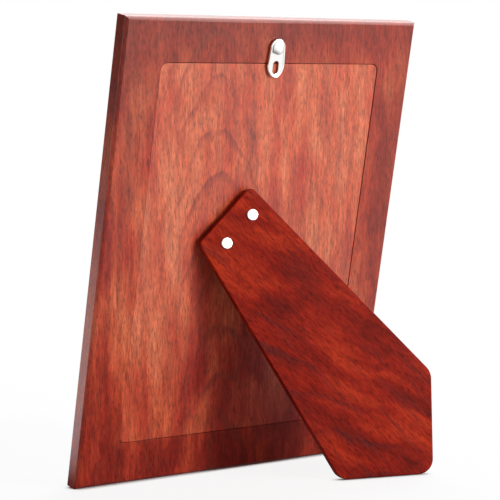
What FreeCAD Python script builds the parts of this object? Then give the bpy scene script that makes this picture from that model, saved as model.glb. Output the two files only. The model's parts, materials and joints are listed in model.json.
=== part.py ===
# Easel back photo frame for a 5 x 7 in print, standing as it does on a table.
# One wooden board frame carries the glass, print, backing card and a flush back
# panel. The panel hangs on two locating pins below and a turn button above. A
# flat wooden leg folds out of the panel on a diagonal butt hinge, so the frame
# stands upright or on its long side.
#
# Frame space, in which most pieces are drawn: x to the right as seen from
# behind, y up the board from its lower edge, z out of the back, with z zero on
# the back face. The whole frame is then leaned back until it meets the table.
# Leg space is at the hinge pin: x along the pin, y from the foot to the hinge,
# z out of the leg's outer face.
import FreeCAD, Part
import math
import os
import re
import Sketcher
from FreeCAD import Placement, Rotation, Vector

# Driving dimensions, in millimetres and degrees
SIZES = {
    # board and its moulding, with its width outside the panel recess
    "border_side": 22.0,
    "border_end": 21.1,
    "board_thickness": 15.0,
    "side_depth": 7.8,
    "back_edge_round": 1.9,
    "front_step": 2.0,
    "front_round": 6.8,
    "front_land": 0.4,
    "sight_bevel": 4.0,
    "sight_lip": 3.0,
    # what the frame holds, which the board is sized around
    "photo_width": 127.0,
    "photo_height": 177.8,
    "photo_sheet": 0.3,
    "glass_thickness": 2.0,
    "card_thickness": 1.5,
    "photo_clearance": 1.2,
    "rabbet_corner_r": 3.0,
    # back panel in its recess, on a ledge round the photo rabbet
    "ledge_side": 2.2,
    "ledge_end": 3.1,
    "panel_thickness": 4.0,
    "panel_gap": 0.4,
    "recess_corner_r": 4.0,
    "panel_edge_ease": 0.3,
    # locating pins in the panel's lower edge
    "locator_d": 2.0,
    "locator_in_panel": 5.5,
    "locator_reach": 2.5,
    "locator_spread": 92.0,
    "locator_hole_slack": 0.3,
    # stance
    "lean_angle": 11.2,
    "open_angle": 24.9,
    # leg
    "leg_thickness": 4.0,
    "leg_end_width": 38.7,
    "leg_flare_angle": 14.2,
    "leg_end_corner_r": 3.0,
    "leg_foot_corner_r": 7.5,
    "leg_edge_round": 0.6,
    "stop_gap": 0.15,
    # butt hinge between panel and leg
    "hinge_from_side": 71.2,
    "hinge_from_base": 130.2,
    "hinge_width": 26.0,
    "leaf_thickness": 0.6,
    "pin_d": 1.5,
    "pin_clearance": 0.05,
    "pin_end": 0.5,
    "knuckle_lift": 0.2,
    "knuckle_gap": 0.2,
    "middle_knuckle": 8.6,
    "leg_over_pin": 0.35,
    "barrel_clearance": 0.2,
    "leg_leaf_reach": 9.5,
    "panel_leaf_reach": 17.0,
    "leaf_corner_r": 1.5,
    # rivets
    "leg_rivet_edge": 3.4,
    "leg_rivet_from_end": 9.97,
    "leg_rivet_head_d": 5.6,
    "leg_rivet_head_height": 1.0,
    "leg_rivet_shank_d": 2.6,
    "leg_rivet_tail_d": 4.0,
    "leg_rivet_tail_height": 0.35,
    "rivet_crown_share": 0.8,
    "panel_rivet_edge": 5.0,
    "panel_rivet_reach": 13.5,
    "panel_rivet_head_d": 4.4,
    "panel_rivet_head_height": 0.5,
    "panel_rivet_shank_d": 2.4,
    "panel_rivet_tail_d": 4.2,
    "panel_rivet_tail_height": 0.5,
    "panel_rivet_well_slack": 0.3,
    # turn button with its hanging slot
    "button_above_recess": 7.6,
    "button_head_r": 4.4,
    "button_loop_r": 5.1,
    "button_length": 19.0,
    "button_thickness": 0.9,
    "button_edge_round": 0.3,
    "button_play": 0.05,
    "slot_width": 3.4,
    "slot_length": 6.3,
    "slot_from_tip": 1.9,
    "washer_d": 5.6,
    "washer_thickness": 1.0,
    "stud_head_d": 6.4,
    "stud_head_height": 1.5,
    "stud_crown_share": 0.8,
    "stud_shank_d": 2.5,
    "stud_depth": 9.0,
    # how far a cutting tool runs past the wall it opens
    "overrun": 1.0,
}

doc = FreeCAD.newDocument("photo_frame")
sheet = doc.addObject("Spreadsheet::Sheet", "sheet")
for row, (alias, number) in enumerate(SIZES.items(), 1):
    sheet.set(f"A{row}", alias)
    sheet.set(f"B{row}", str(number))
    sheet.setAlias(f"B{row}", alias)
doc.recompute()

# Sizes that follow from the driving ones
DERIVED = {}


def bound(text):
    """An expression on the sheet, from a formula that names sizes in plain words."""
    def swap(match):
        word = match.group()
        if word in DERIVED:
            return f"({bound(DERIVED[word])})"
        return f"sheet.{word}" if word in SIZES else word
    return re.sub(r"[a-z_]+", swap, text)


def value(text):
    """The number that such a formula gives now."""
    return float(sheet.evalExpression(bound(text)))


DERIVED.update({
    # the moulding's round stops short of the step beside it
    "moulding_round": "min(front_round; board_thickness - side_depth - front_land)",
    "stack_depth": "panel_thickness + card_thickness + photo_sheet + glass_thickness",
    "rabbet_width": "photo_width + 2 * photo_clearance",
    "rabbet_height": "photo_height + 2 * photo_clearance",
    "recess_width": "rabbet_width + 2 * ledge_side",
    "recess_height": "rabbet_height + 2 * ledge_end",
    "frame_width": "recess_width + 2 * border_side",
    "frame_height": "recess_height + 2 * border_end",
    "sight_width": "photo_width - 2 * sight_lip",
    "sight_height": "photo_height - 2 * sight_lip",
    "knuckle_r": "pin_d / 2 + pin_clearance + leaf_thickness",
    "pin_height": "knuckle_lift + knuckle_r",
    "barrel_r": "knuckle_r + barrel_clearance",
    # how far the leg runs on past the pin before its end stops on the panel
    "leg_overhang": "(pin_height + leg_over_pin * cos(open_angle) - stop_gap) / sin(open_angle)",
    "rivet_from_pin": "leg_rivet_from_end - leg_overhang",
    # rivets keep their distance from the hinge's ends
    "leg_rivet_spread": "hinge_width - 2 * leg_rivet_edge",
    "panel_rivet_spread": "hinge_width - 2 * panel_rivet_edge",
    # the leg's outward normal rises by this much per millimetre
    "leg_rise": "sin(open_angle) * cos(lean_angle) / sqrt(2) - cos(open_angle) * sin(lean_angle)",
    # the rounded lower edge of the board meets the table this far along
    "table_level": "back_edge_round * (cos(lean_angle) + sin(lean_angle) - 1)",
    "foot_level": "table_level - leg_edge_round * (leg_rise + sqrt(1 - leg_rise ^ 2) - 1)",
    "foot_slope": "cos(open_angle) + sqrt(2) * tan(lean_angle) * sin(open_angle)",
    "pin_drop": "pin_height * sin(lean_angle) - leg_over_pin * leg_rise + foot_level",
    "foot_upright": "sqrt(2) * (hinge_from_base - pin_drop / cos(lean_angle))",
    "foot_lying": "sqrt(2) * (frame_width - hinge_from_side - pin_drop / cos(lean_angle))",
    "button_x": "0",
    "button_y": "frame_height - border_end + button_above_recess",
    "loop_drop": "button_length - button_head_r - button_loop_r",
    "slot_middle": "button_length - button_head_r - slot_from_tip - slot_length / 2",
    "button_base": "washer_thickness + button_play",
    "stud_head_base": "button_base + button_thickness + button_play",
})


# Drawing helpers
def sketch_on(body, name, plane="XY_Plane", lift="0"):
    """A sketch on one of the body's own origin planes, lifted along its normal."""
    sketch = body.newObject("Sketcher::SketchObject", name)
    origin = next(item for item in body.Origin.OriginFeatures if item.Role == plane)
    sketch.AttachmentSupport = [(origin, "")]
    sketch.MapMode = "FlatFace"
    sketch.setExpression("AttachmentOffset.Base.z", bound(lift))
    return sketch


def draw_outline(sketch, corners):
    """A closed outline whose every corner is bound to its two formulas."""
    points = [Vector(value(x), value(y), 0) for x, y in corners]
    count = len(points)
    for index in range(count):
        line = Part.LineSegment(points[index], points[(index + 1) % count])
        sketch.addGeometry(line, False)
    for index in range(count):
        joined = Sketcher.Constraint("Coincident", index, 2, (index + 1) % count, 1)
        sketch.addConstraint(joined)
    for index, corner in enumerate(corners):
        for direction, text in zip(("DistanceX", "DistanceY"), corner):
            datum = Sketcher.Constraint(direction, -1, 1, index, 1, value(text))
            number = sketch.addConstraint(datum)
            sketch.setExpression(f"Constraints[{number}]", bound(text))


def rectangle(width, low, high):
    """Corners of a rectangle that is centred on x."""
    left, right = f"-({width}) / 2", f"({width}) / 2"
    return [(left, low), (right, low), (right, high), (left, high)]


def middle_rectangle(width, height):
    """Corners of a rectangle in the middle of the board."""
    low = f"(frame_height - ({height})) / 2"
    return rectangle(width, low, f"{low} + ({height})")


def new_body(label):
    """An empty body that one piece is built in."""
    body = doc.addObject("PartDesign::Body", f"{label}_body")
    body.Label = label
    return body


def pad(body, name, corners, length, lift="0", up=True):
    """Material over an outline, upwards or downwards from its plane."""
    sketch = sketch_on(body, f"{name}_outline", lift=lift)
    draw_outline(sketch, corners)
    feature = body.newObject("PartDesign::Pad", name)
    feature.Profile = sketch
    feature.setExpression("Length", bound(length))
    feature.Reversed = not up
    doc.recompute()
    return feature


def pocket(body, name, corners, depth, lift="0"):
    """A recess under an outline. It has to take material away."""
    before = body.Shape.Volume
    sketch = sketch_on(body, f"{name}_outline", lift=lift)
    draw_outline(sketch, corners)
    feature = body.newObject("PartDesign::Pocket", name)
    feature.Profile = sketch
    feature.setExpression("Length", bound(depth))
    doc.recompute()
    if body.Shape.Volume >= before:
        raise RuntimeError(f"{name} cuts nothing")
    return feature


def drill(body, name, diameter, depth, mouth, turn=Rotation()):
    """A round hole whose mouth is at a point. It runs along local z from there."""
    before = body.Shape.Volume
    feature = body.newObject("PartDesign::SubtractiveCylinder", name)
    feature.setExpression("Radius", bound(f"({diameter}) / 2"))
    feature.setExpression("Height", bound(depth))
    feature.Placement = Placement(Vector(), turn)
    for axis, text in zip("xyz", mouth):
        feature.setExpression(f"Placement.Base.{axis}", bound(text))
    doc.recompute()
    if body.Shape.Volume >= before:
        raise RuntimeError(f"{name} cuts nothing")


def dress(body, kind, name, size, chosen):
    """A fillet or chamfer on every edge that the test chooses."""
    base = body.Tip
    names = [f"Edge{number}" for number, edge in enumerate(base.Shape.Edges, 1) if chosen(edge)]
    if not names:
        raise RuntimeError(f"{name} finds no edge")
    feature = body.newObject(f"PartDesign::{kind}", name)
    feature.Base = (base, names)
    feature.setExpression("Radius" if kind == "Fillet" else "Size", bound(size))
    doc.recompute()


NEAR = 1e-4


def same(first, second):
    return abs(first - second) < NEAR


def level_at(level):
    """Chooses edges that lie flat at a height."""
    height = value(level)
    return lambda edge: same(edge.BoundBox.ZMin, height) and same(edge.BoundBox.ZMax, height)


def upright_near(corners):
    """Chooses upright edges that stand on any of the corners."""
    places = [(value(x), value(y)) for x, y in corners]

    def chosen(edge):
        box = edge.BoundBox
        if not (same(box.XMin, box.XMax) and same(box.YMin, box.YMax)) or same(box.ZMin, box.ZMax):
            return False
        return any(same(box.XMin, x) and same(box.YMin, y) for x, y in places)
    return chosen


def outline_at(level, corners):
    """Chooses flat edges at a height that run between the corners' sides."""
    flat = level_at(level)
    xs = {value(x) for x, _ in corners}
    ys = {value(y) for _, y in corners}

    def chosen(edge):
        box = edge.BoundBox
        along_y = same(box.XMin, box.XMax) and any(same(box.XMin, x) for x in xs)
        along_x = same(box.YMin, box.YMax) and any(same(box.YMin, y) for y in ys)
        return flat(edge) and (along_x or along_y)
    return chosen


def group(label, members):
    """Identical loose pieces that share one node."""
    together = doc.addObject("Part::Compound", f"{label}_group")
    together.Label = label
    together.Links = members
    return together


# The board frame
def make_frame_body():
    """One board: moulded front, sight window, photo rabbet and panel recess."""
    body = new_body("frame_body")
    outline = rectangle("frame_width", "0", "frame_height")
    raised = rectangle("frame_width - 2 * front_step", "front_step", "frame_height - front_step")
    sight = middle_rectangle("sight_width", "sight_height")
    rabbet = middle_rectangle("rabbet_width", "rabbet_height")
    recess = middle_rectangle("recess_width", "recess_height")
    pad(body, "board", outline, "side_depth", up=False)
    pad(body, "moulding", raised, "board_thickness", up=False)
    dress(body, "Fillet", "moulding_edges", "moulding_round", outline_at("-board_thickness", raised))
    pocket(body, "window", sight, "board_thickness + overrun")
    dress(body, "Chamfer", "window_bevel", "sight_bevel", outline_at("-board_thickness", sight))
    pocket(body, "photo_rabbet", rabbet, "stack_depth")
    dress(body, "Fillet", "rabbet_corners", "rabbet_corner_r", upright_near(rabbet))
    pocket(body, "panel_recess", recess, "panel_thickness")
    dress(body, "Fillet", "recess_corners", "recess_corner_r", upright_near(recess))
    dress(body, "Fillet", "back_edges", "back_edge_round", outline_at("0", outline))
    for side in (-1, 1):
        mouth = (f"{side} * locator_spread / 2", "border_end + overrun", "-panel_thickness / 2")
        depth = "locator_reach + locator_hole_slack + overrun"
        down = Rotation(Vector(1, 0, 0), 90)
        drill(body, f"locator_hole_{side + 2}", "locator_d + 2 * locator_hole_slack", depth, mouth, down)
    drill(body, "stud_hole", "stud_shank_d", "stud_depth", ("button_x", "button_y", "-stud_depth"))
    return body


# The pack that the frame holds
def make_sheet(label, thickness, depth):
    """A flat pane of the photo's size whose back face is at a depth."""
    body = new_body(label)
    pad(body, label, middle_rectangle("photo_width", "photo_height"), thickness, f"-({depth})", up=False)
    return body


def make_back_panel():
    """The panel that drops into the recess, flush with the back."""
    body = new_body("back_panel")
    outline = middle_rectangle("recess_width - 2 * panel_gap", "recess_height - 2 * panel_gap")
    pad(body, "panel", outline, "panel_thickness", up=False)
    dress(body, "Fillet", "panel_corners", "recess_corner_r - panel_gap", upright_near(outline))
    dress(body, "Chamfer", "panel_ease", "panel_edge_ease", level_at("0"))
    for side in (-1, 1):
        mouth = (f"{side} * locator_spread / 2", "border_end - overrun", "-panel_thickness / 2")
        depth = "panel_gap + locator_in_panel + overrun"
        up = Rotation(Vector(1, 0, 0), -90)
        drill(body, f"locator_socket_{side + 2}", "locator_d", depth, mouth, up)
    for side, (x, y) in zip("ab", panel_rivet_places()):
        drill(body, f"rivet_hole_{side}", "panel_rivet_shank_d", "panel_thickness + 2 * overrun",
              (x, y, "-panel_thickness - overrun"))
        drill(body, f"rivet_well_{side}", "panel_rivet_tail_d + 2 * panel_rivet_well_slack",
              "panel_rivet_tail_height + overrun", (x, y, "-panel_thickness - overrun"))
    return body


def make_locating_pins():
    """Headless steel pins, half in the panel's lower edge and half in the board."""
    pins = []
    for side in (-1, 1):
        pin = doc.addObject("Part::Cylinder", f"locating_pin_{side + 2}")
        pin.setExpression("Radius", bound("locator_d / 2"))
        pin.setExpression("Height", bound("locator_in_panel + panel_gap + locator_reach"))
        pin.Placement = Placement(Vector(), Rotation(Vector(1, 0, 0), -90))
        pin.setExpression("Placement.Base.x", bound(f"{side} * locator_spread / 2"))
        pin.setExpression("Placement.Base.y", bound("border_end - locator_reach"))
        pin.setExpression("Placement.Base.z", bound("-panel_thickness / 2"))
        pins.append(pin)
    return group("panel_locating_pins", pins)


# The hinge and its rivets
def hinge_point(along, back):
    """Frame-space formulas of a point given along the pin and back from the foot."""
    x = f"hinge_from_side - frame_width / 2 + (({along}) - ({back})) / sqrt(2)"
    y = f"hinge_from_base + (({along}) + ({back})) / sqrt(2)"
    return x, y


def panel_rivet_places():
    return [hinge_point(f"{side} * panel_rivet_spread / 2", "-panel_rivet_reach") for side in (-1, 1)]


def bar_on_pin(body, name, radius, start, length):
    """A round bar on the pin's own line, from a place along it."""
    feature = body.newObject("PartDesign::AdditiveCylinder", name)
    feature.setExpression("Radius", bound(radius))
    feature.setExpression("Height", bound(length))
    feature.Placement = Placement(Vector(), Rotation(Vector(0, 1, 0), 90))
    feature.setExpression("Placement.Base.x", bound(start))
    doc.recompute()


def make_leaf(label, reach, low, knuckles, notches):
    """One leaf: a plate toward the foot, notched for the other leaf's knuckles."""
    body = new_body(label)
    pad(body, f"{label}_plate", rectangle("hinge_width", f"-({reach})", "0"), "leaf_thickness", low)
    far_corners = rectangle("hinge_width", f"-({reach})", f"-({reach})")
    dress(body, "Fillet", f"{label}_corners", "leaf_corner_r", upright_near(far_corners))
    for number, (start, length) in enumerate(notches, 1):
        ends = [(start, "-barrel_r"), (f"({start}) + ({length})", "-barrel_r"),
                (f"({start}) + ({length})", "overrun"), (start, "overrun")]
        pocket(body, f"{label}_notch_{number}", ends, "leaf_thickness + overrun",
               f"({low}) + leaf_thickness")
    for number, (start, length) in enumerate(knuckles, 1):
        bar_on_pin(body, f"{label}_knuckle_{number}", "knuckle_r", start, length)
    along = Rotation(Vector(0, 1, 0), 90)
    drill(body, f"{label}_bore", "pin_d + 2 * pin_clearance", "hinge_width + 2 * overrun",
          ("-hinge_width / 2 - overrun", "0", "0"), along)
    return body


def make_panel_leaf():
    """The leaf on the panel carries the two outer knuckles."""
    outer = "(hinge_width - middle_knuckle) / 2 - knuckle_gap"
    knuckles = [("-hinge_width / 2", outer), ("middle_knuckle / 2 + knuckle_gap", outer)]
    notches = [("-middle_knuckle / 2 - knuckle_gap", "middle_knuckle + 2 * knuckle_gap")]
    body = make_leaf("hinge_leaf_panel", "panel_leaf_reach", "-pin_height", knuckles, notches)
    for side in (-1, 1):
        drill(body, f"panel_leaf_hole_{side + 2}", "panel_rivet_shank_d", "leaf_thickness + 2 * overrun",
              (f"{side} * panel_rivet_spread / 2", "-panel_rivet_reach", "-pin_height - overrun"))
    return body


def make_leg_leaf():
    """The leaf under the leg carries the middle knuckle."""
    side_length = "(hinge_width - middle_knuckle) / 2 + overrun"
    knuckles = [("-middle_knuckle / 2", "middle_knuckle")]
    notches = [("-hinge_width / 2 - overrun", side_length), ("middle_knuckle / 2", side_length)]
    low = "leg_over_pin - leaf_thickness"
    body = make_leaf("hinge_leaf_leg", "leg_leaf_reach", low, knuckles, notches)
    for side in (-1, 1):
        drill(body, f"leg_leaf_hole_{side + 2}", "leg_rivet_shank_d", "leaf_thickness + 2 * overrun",
              (f"{side} * leg_rivet_spread / 2", "-rivet_from_pin", f"{low} - overrun"))
    return body


def make_hinge_pin():
    """The pin that both leaves turn on."""
    body = new_body("hinge_pin")
    bar_on_pin(body, "pin_rod", "pin_d / 2", "-hinge_width / 2 - pin_end", "hinge_width + 2 * pin_end")
    return body


def make_rivet(name, kind, x, y, seat, grip):
    """A rivet whose head sits on a seat and whose tail is clenched below its grip."""
    body = new_body(name)
    for part, radius, height, base in (
            ("shank", f"{kind}_shank_d / 2", grip, f"({seat}) - ({grip})"),
            ("head", f"{kind}_head_d / 2", f"{kind}_head_height", seat),
            ("tail", f"{kind}_tail_d / 2", f"{kind}_tail_height",
             f"({seat}) - ({grip}) - {kind}_tail_height")):
        feature = body.newObject("PartDesign::AdditiveCylinder", f"{name}_{part}")
        feature.setExpression("Radius", bound(radius))
        feature.setExpression("Height", bound(height))
        for axis, text in zip("xyz", (x, y, base)):
            feature.setExpression(f"Placement.Base.{axis}", bound(text))
        doc.recompute()
    crown = level_at(f"({seat}) + {kind}_head_height")
    dress(body, "Fillet", f"{name}_crown", f"{kind}_head_height * rivet_crown_share", crown)
    return body


def make_leg_rivets():
    rivets = []
    for side, name in ((-1, "leg_rivet_left"), (1, "leg_rivet_right")):
        x = f"{side} * leg_rivet_spread / 2"
        seat = "leg_over_pin + leg_thickness"
        grip = "leg_thickness + leaf_thickness"
        rivets.append(make_rivet(name, "leg_rivet", x, "-rivet_from_pin", seat, grip))
    return group("leg_rivets", rivets)


def make_panel_rivets():
    rivets = []
    for side, name in ((-1, "panel_rivet_left"), (1, "panel_rivet_right")):
        x = f"{side} * panel_rivet_spread / 2"
        seat = "leaf_thickness - pin_height"
        grip = "leaf_thickness + panel_thickness - panel_rivet_tail_height"
        rivets.append(make_rivet(name, "panel_rivet", x, "-panel_rivet_reach", seat, grip))
    return group("panel_rivets", rivets)


# The leg
def leg_corners():
    """The leg's outline. Its two foot edges lie on the table in either stance."""
    half = "leg_end_width / 2"
    # along the flared edge, until it meets the upright foot edge
    reach = (f"(foot_upright - {half} + foot_slope * leg_overhang)"
             " / (sin(leg_flare_angle) + foot_slope * cos(leg_flare_angle))")
    end_right = (half, "leg_overhang")
    end_left = (f"-{half}", "leg_overhang")
    toe = (f"-{half} - {reach} * sin(leg_flare_angle)",
           f"leg_overhang - {reach} * cos(leg_flare_angle)")
    corner = ("(foot_lying - foot_upright) / 2", "-(foot_lying + foot_upright) / (2 * foot_slope)")
    side_toe = (half, f"-(foot_lying - {half}) / (foot_slope)")
    return end_right, end_left, toe, corner, side_toe


def make_easel_leg():
    """A flat board with rounded corners, grooved inside for the hinge's barrel."""
    body = new_body("easel_leg")
    corners = leg_corners()
    pad(body, "leg_board", corners, "leg_thickness", "leg_over_pin")
    dress(body, "Fillet", "end_corners", "leg_end_corner_r", upright_near(corners[:2]))
    dress(body, "Fillet", "foot_corners", "leg_foot_corner_r", upright_near(corners[2:]))
    inner, outer = level_at("leg_over_pin"), level_at("leg_over_pin + leg_thickness")
    dress(body, "Fillet", "leg_edges", "leg_edge_round", lambda edge: inner(edge) or outer(edge))
    groove = "hinge_width + 2 * (pin_end + barrel_clearance)"
    along = Rotation(Vector(0, 1, 0), 90)
    drill(body, "barrel_groove", "2 * barrel_r", groove, (f"-({groove}) / 2", "0", "0"), along)
    for side in (-1, 1):
        drill(body, f"leg_hole_{side + 2}", "leg_rivet_shank_d", "leg_thickness + 2 * overrun",
              (f"{side} * leg_rivet_spread / 2", "-rivet_from_pin", "leg_over_pin - overrun"))
    return body


# The turn button, which locks the panel and hangs the frame
def make_hanger_plate():
    """A pear-shaped plate, narrow at its stud and wide at its hanging slot."""
    body = new_body("hanger_plate")
    # where straight sides touch both round ends
    lean = "(button_loop_r - button_head_r) / loop_drop"
    rise = f"sqrt(1 - ({lean}) ^ 2)"
    sides = [(f"button_head_r * {rise}", f"button_head_r * {lean}"),
             (f"-button_head_r * {rise}", f"button_head_r * {lean}"),
             (f"-button_loop_r * {rise}", f"button_loop_r * {lean} - loop_drop"),
             (f"button_loop_r * {rise}", f"button_loop_r * {lean} - loop_drop")]
    pad(body, "button_sides", sides, "button_thickness", "button_base")
    for name, radius, drop in (("button_head", "button_head_r", "0"),
                               ("button_loop", "button_loop_r", "-(loop_drop)")):
        feature = body.newObject("PartDesign::AdditiveCylinder", name)
        feature.setExpression("Radius", bound(radius))
        feature.setExpression("Height", bound("button_thickness"))
        feature.setExpression("Placement.Base.y", bound(drop))
        feature.setExpression("Placement.Base.z", bound("button_base"))
        doc.recompute()
    top = level_at("button_base + button_thickness")
    dress(body, "Fillet", "button_edge", "button_edge_round", top)
    through = "button_thickness + 2 * overrun"
    below = "button_base - overrun"
    drill(body, "button_hole", "stud_shank_d + 2 * button_play", through, ("0", "0", below))
    reach = "(slot_length - slot_width) / 2"
    drill(body, "slot_top", "slot_width", through, ("0", f"{reach} - slot_middle", below))
    drill(body, "slot_foot", "slot_width", through, ("0", f"-{reach} - slot_middle", below))
    middle = rectangle("slot_width", f"-{reach} - slot_middle", f"{reach} - slot_middle")
    pocket(body, "slot_middle_cut", middle, through, "button_base + button_thickness + overrun")
    return body


def make_hanger_washer():
    """The spacer that holds the button clear of the back."""
    body = new_body("hanger_washer")
    ring = body.newObject("PartDesign::AdditiveCylinder", "washer_ring")
    ring.setExpression("Radius", bound("washer_d / 2"))
    ring.setExpression("Height", bound("washer_thickness"))
    doc.recompute()
    drill(body, "washer_hole", "stud_shank_d", "washer_thickness + 2 * overrun", ("0", "0", "-overrun"))
    return body


def make_hanger_stud():
    """A domed stud, driven into the board, that the button turns on."""
    body = new_body("hanger_stud")
    for part, radius, height, base in (
            ("shank", "stud_shank_d / 2", "stud_depth + stud_head_base", "-stud_depth"),
            ("head", "stud_head_d / 2", "stud_head_height", "stud_head_base")):
        feature = body.newObject("PartDesign::AdditiveCylinder", f"stud_{part}")
        feature.setExpression("Radius", bound(radius))
        feature.setExpression("Height", bound(height))
        feature.setExpression("Placement.Base.z", bound(base))
        doc.recompute()
    top = level_at("stud_head_base + stud_head_height")
    dress(body, "Fillet", "stud_crown", "stud_head_height * stud_crown_share", top)
    return body


# Building every piece, and the space that each is drawn in
frame_pieces = [
    make_frame_body(),
    make_sheet("glass_pane", "glass_thickness", "panel_thickness + card_thickness + photo_sheet"),
    make_sheet("photo_print", "photo_sheet", "panel_thickness + card_thickness"),
    make_sheet("backing_card", "card_thickness", "panel_thickness"),
    make_back_panel(),
    make_locating_pins(),
]
hinge_pieces = [make_panel_leaf(), make_hinge_pin(), make_panel_rivets()]
leg_pieces = [make_easel_leg(), make_leg_leaf(), make_leg_rivets()]
button_pieces = [make_hanger_plate(), make_hanger_washer(), make_hanger_stud()]

lean = math.radians(value("lean_angle"))
across = Vector(-1, 0, 0)
up_board = Vector(0, math.sin(lean), math.cos(lean))
out_of_back = Vector(0, math.cos(lean), -math.sin(lean))
leaned = Rotation(across, up_board, out_of_back, "ZYX")
diagonal = Rotation(Vector(0, 0, 1), 45)
opened = Rotation(Vector(1, 0, 0), -value("open_angle"))
pin_x, pin_y = hinge_point("0", "0")
pin_place = Placement(Vector(value(pin_x), value(pin_y), value("pin_height")), diagonal)
button_place = Placement(Vector(value("button_x"), value("button_y"), 0), Rotation())
spaces = [
    (frame_pieces, Placement()),
    (hinge_pieces, pin_place),
    (leg_pieces, pin_place * Placement(Vector(), opened)),
    (button_pieces, button_place),
]


def place_all(stand):
    for pieces, space in spaces:
        for piece in pieces:
            piece.Placement = stand * space
    doc.recompute()


# Stand it on the table, then centre it over the origin from front to back
everything = [piece for pieces, _ in spaces for piece in pieces]
on_table = Vector(0, 0, -value("table_level"))
place_all(Placement(on_table, leaned))
boxes = [piece.Shape.optimalBoundingBox(False) for piece in everything]
middle = (min(box.YMin for box in boxes) + max(box.YMax for box in boxes)) / 2
stand = Placement(on_table + Vector(0, -middle, 0), leaned)
place_all(stand)

for item in doc.Objects:
    if "Invalid" in item.State or "Error" in item.State:
        raise RuntimeError(f"{item.Label} is {item.State}")
for piece in everything:
    if piece.Shape.isNull() or not piece.Shape.isValid():
        raise RuntimeError(f"{piece.Label} has no valid shape")

os.makedirs("parts", exist_ok=True)
for piece in everything:
    piece.Shape.exportStep(f"parts/{piece.Label}.step")
    box = piece.Shape.optimalBoundingBox(False)
    print(f"{piece.Label:20s} {len(piece.Shape.Solids)} solids, {piece.Shape.Volume:10.2f} mm3,"
          f" x {box.XMin:.2f} to {box.XMax:.2f}, y {box.YMin:.2f} to {box.YMax:.2f},"
          f" z {box.ZMin:.3f} to {box.ZMax:.2f}")

# Places that joints and mounts use
hinge_space = stand * pin_place
print("hinge pin centre", hinge_space.Base, "axis", hinge_space.Rotation.multVec(Vector(1, 0, 0)))
button_space = stand * button_place
print("button stud", button_space.Base, "axis", button_space.Rotation.multVec(Vector(0, 0, 1)))
for name in ("leg_overhang", "rivet_from_pin", "foot_slope", "foot_upright", "foot_lying", "leg_rise"):
    print(name, round(value(name), 4))
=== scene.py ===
# %% [markdown]
# # An easel back photo frame, seen from behind
# The real object is a small wooden frame for a 5 x 7 in print. A flat leg on a
# diagonal hinge props it up, and a bright turn button keeps its back panel in.
# The construction is already finished elsewhere and comes in as a fixed frame.
# This lesson gives it its looks: wood, metal, glass, light and a camera.

# %% Load the construction
import json
import math

import bmesh
import bpy
from mathutils import Matrix, Vector


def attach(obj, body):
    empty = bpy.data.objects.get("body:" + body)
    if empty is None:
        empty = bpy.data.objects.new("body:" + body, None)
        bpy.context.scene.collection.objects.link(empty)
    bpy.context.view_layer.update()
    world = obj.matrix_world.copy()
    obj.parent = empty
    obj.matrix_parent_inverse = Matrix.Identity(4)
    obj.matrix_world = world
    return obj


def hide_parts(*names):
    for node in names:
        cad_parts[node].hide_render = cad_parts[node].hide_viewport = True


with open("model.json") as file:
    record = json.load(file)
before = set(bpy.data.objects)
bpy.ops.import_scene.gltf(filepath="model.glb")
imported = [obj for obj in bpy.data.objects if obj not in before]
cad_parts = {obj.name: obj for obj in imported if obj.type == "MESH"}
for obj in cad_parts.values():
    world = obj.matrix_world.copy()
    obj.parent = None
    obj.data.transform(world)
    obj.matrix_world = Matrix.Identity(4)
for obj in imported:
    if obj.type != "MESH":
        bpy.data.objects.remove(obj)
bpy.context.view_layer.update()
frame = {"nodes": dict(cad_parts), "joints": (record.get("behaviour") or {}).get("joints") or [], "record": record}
nodes = frame["nodes"]
MM = 0.001
NEAR = 0.02 * MM

# %% [markdown]
# ## Two spaces to work in
# Nothing on this object is upright. The board leans back, and the leg swings out
# of it on a diagonal line. So each piece is modelled flat, in a space of its own,
# and is then stood up by one matrix. The directions come from the joints: the
# turn button turns on the board's normal, and the leg turns on its hinge pin.

# %% Board space and leg space
joints = {joint["name"]: joint for joint in frame["joints"]}
mounts = {mount["name"]: mount for mount in frame["record"]["mounts"]}


def reach(node, start, direction):
    """How far a node's points go in a direction from a point."""
    return max((vertex.co - start).dot(direction) for vertex in nodes[node].data.vertices)


def space(origin, x_axis, y_axis, z_axis):
    """The matrix that takes a piece from its own flat space to its place."""
    turned = Matrix((x_axis, y_axis, z_axis)).transposed().to_4x4()
    return Matrix.Translation(origin) @ turned


board_out = Vector(joints["hanger_turn"]["axis"]).normalized()
board_across = Vector((-1, 0, 0))
board_up = board_out.cross(board_across)
pin_point = Vector(joints["leg_hinge"]["pos_m"])
pin_along = Vector(joints["leg_hinge"]["axis"]).normalized()
opening = math.radians(joints["leg_hinge"]["range_deg"][1])
diagonal_up = board_out.cross(pin_along)
leg_up = math.cos(opening) * diagonal_up - math.sin(opening) * board_out
leg_out = math.sin(opening) * diagonal_up + math.cos(opening) * board_out

edge_flat = Vector(mounts["base_edge_face"]["pos_m"])
board_low = edge_flat + board_out * reach("frame_body", edge_flat, board_out)
BOARD = space(board_low, board_across, board_up, board_out)
LEG = space(pin_point, pin_along, leg_up, leg_out)
BUTTON = space(Vector(joints["hanger_turn"]["pos_m"]), board_across, board_up, board_out)
board_width = 2 * reach("frame_body", board_low, board_across)
board_height = reach("frame_body", board_low, board_up)
board_depth = reach("frame_body", board_low, -board_out)
print("board in mm", [round(v / MM, 2) for v in (board_width, board_height, board_depth)])
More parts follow.
